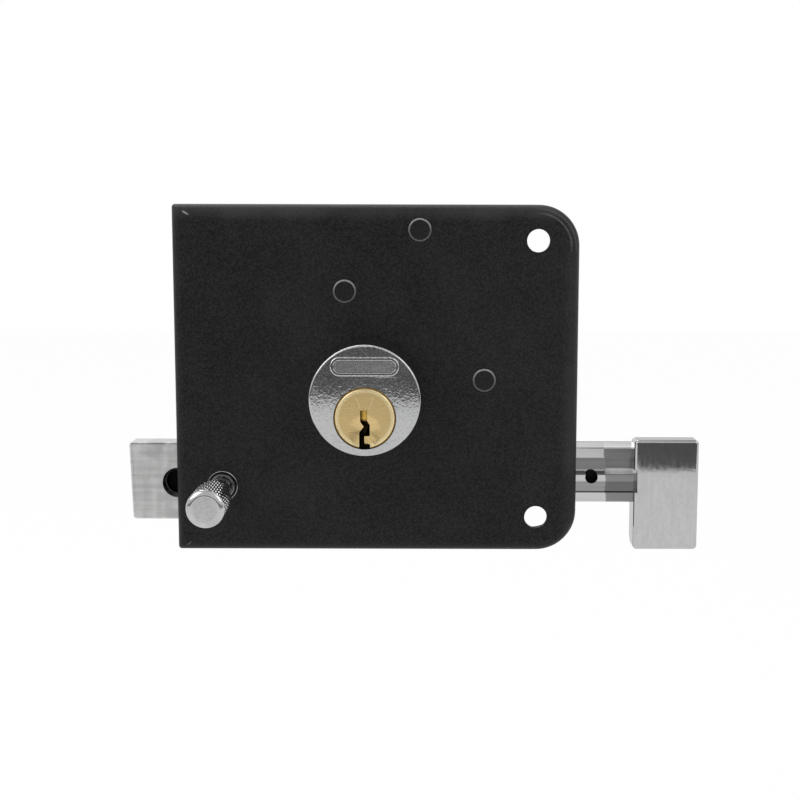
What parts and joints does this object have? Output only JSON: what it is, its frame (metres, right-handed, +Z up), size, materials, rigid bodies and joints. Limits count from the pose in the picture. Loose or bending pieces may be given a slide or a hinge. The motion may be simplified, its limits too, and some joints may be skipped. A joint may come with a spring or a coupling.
{
  "type": "surface rim lock",
  "caption": "Surface rim lock: black sheet case, keyed cylinder, a sliding bolt bar with a pull handle through the case, and a knurled locking pin.",
  "frame": {"origin": "middle of the case's door face, which is the back cover's outer face", "axes": "+Y into the door, -Y out of the front of the case, +X along the bar towards the pull handle, +Z up"},
  "size_m": [0.1722, 0.0586, 0.1039],
  "materials": {
    "black_case": "satin black powder coat with a fine texture",
    "black_posts": "flush riveted steel posts under the same black coat",
    "zinc_cover": "zinc plated sheet, lightly rolled grain",
    "zinc_plate": "zinc plated stamped steel",
    "zinc_screws": "zinc plated turned steel",
    "spring_wire": "drawn spring wire",
    "tumbler_steel": "ground stamped steel",
    "chrome_barrel": "polished chrome with fine handling scratches",
    "chrome_bush": "chrome plated turned bush",
    "chrome_pin": "chrome plated round pin",
    "chrome_knob": "chrome plated knob, diamond knurled side and satin end",
    "chrome_bar": "polished chrome on a ribbed bar",
    "nickel_bolt": "satin nickel with faint wear marks",
    "satin_handle": "satin polished cast zinc",
    "brass_plug": "turned brass with a bright edge",
    "brass_pins": "turned brass"
  },
  "bodies": {
    "case": {"case_shell": "black_case", "back_cover": "zinc_cover", "cover_screws": "zinc_screws", "upper_post": "black_posts", "left_post": "black_posts", "right_post": "black_posts", "cylinder_body": "chrome_barrel", "driver_pins": "brass_pins", "pin_springs": "spring_wire", "clamp_plate": "zinc_plate", "cylinder_screws": "zinc_screws", "spring_seat": "zinc_plate", "tumbler_spring": "spring_wire", "left_guide": "zinc_plate", "right_guide": "zinc_plate", "guide_rivets": "zinc_screws", "bush": "chrome_bush", "bush_nut": "zinc_screws", "dog_screw": "zinc_screws"},
    "key_plug": {"plug": "brass_plug", "key_pins": "brass_pins", "plug_clip": "spring_wire", "cam": "zinc_plate", "cam_screw": "zinc_screws"},
    "tumbler_plate": {"tumbler": "tumbler_steel"},
    "sliding_bar": {"bolt": "nickel_bolt", "bolt_tail": "zinc_plate", "bar": "chrome_bar", "joint_rivets": "zinc_screws", "pull_handle": "satin_handle", "handle_screws": "zinc_screws"},
    "pin_and_knob": {"locking_pin": "chrome_pin", "knob": "chrome_knob"}
  },
  "joints": [
    {"name": "bar_slide", "type": "slide", "parent": "case", "child": "sliding_bar", "axis": [1, 0, 0], "range_m": [-0.0174, 0.0144]},
    {"name": "plug_turn", "type": "hinge", "parent": "case", "child": "key_plug", "pos_m": [-0.002, -0.04, -0.00725], "axis": [0, 1, 0], "range_deg": [0, 90]},
    {"name": "tumbler_drop", "type": "slide", "parent": "case", "child": "tumbler_plate", "axis": [0, 0, -1], "range_m": [0, 0.0042], "deforming": ["tumbler_spring"]},
    {"name": "pin_push", "type": "slide", "parent": "case", "child": "pin_and_knob", "axis": [0, 1, 0], "range_m": [0, 0.0042]}
  ],
  "couplings": [
    {"joint": "tumbler_drop", "follows": "plug_turn", "m_per_rad": 0.0026737}
  ]
}
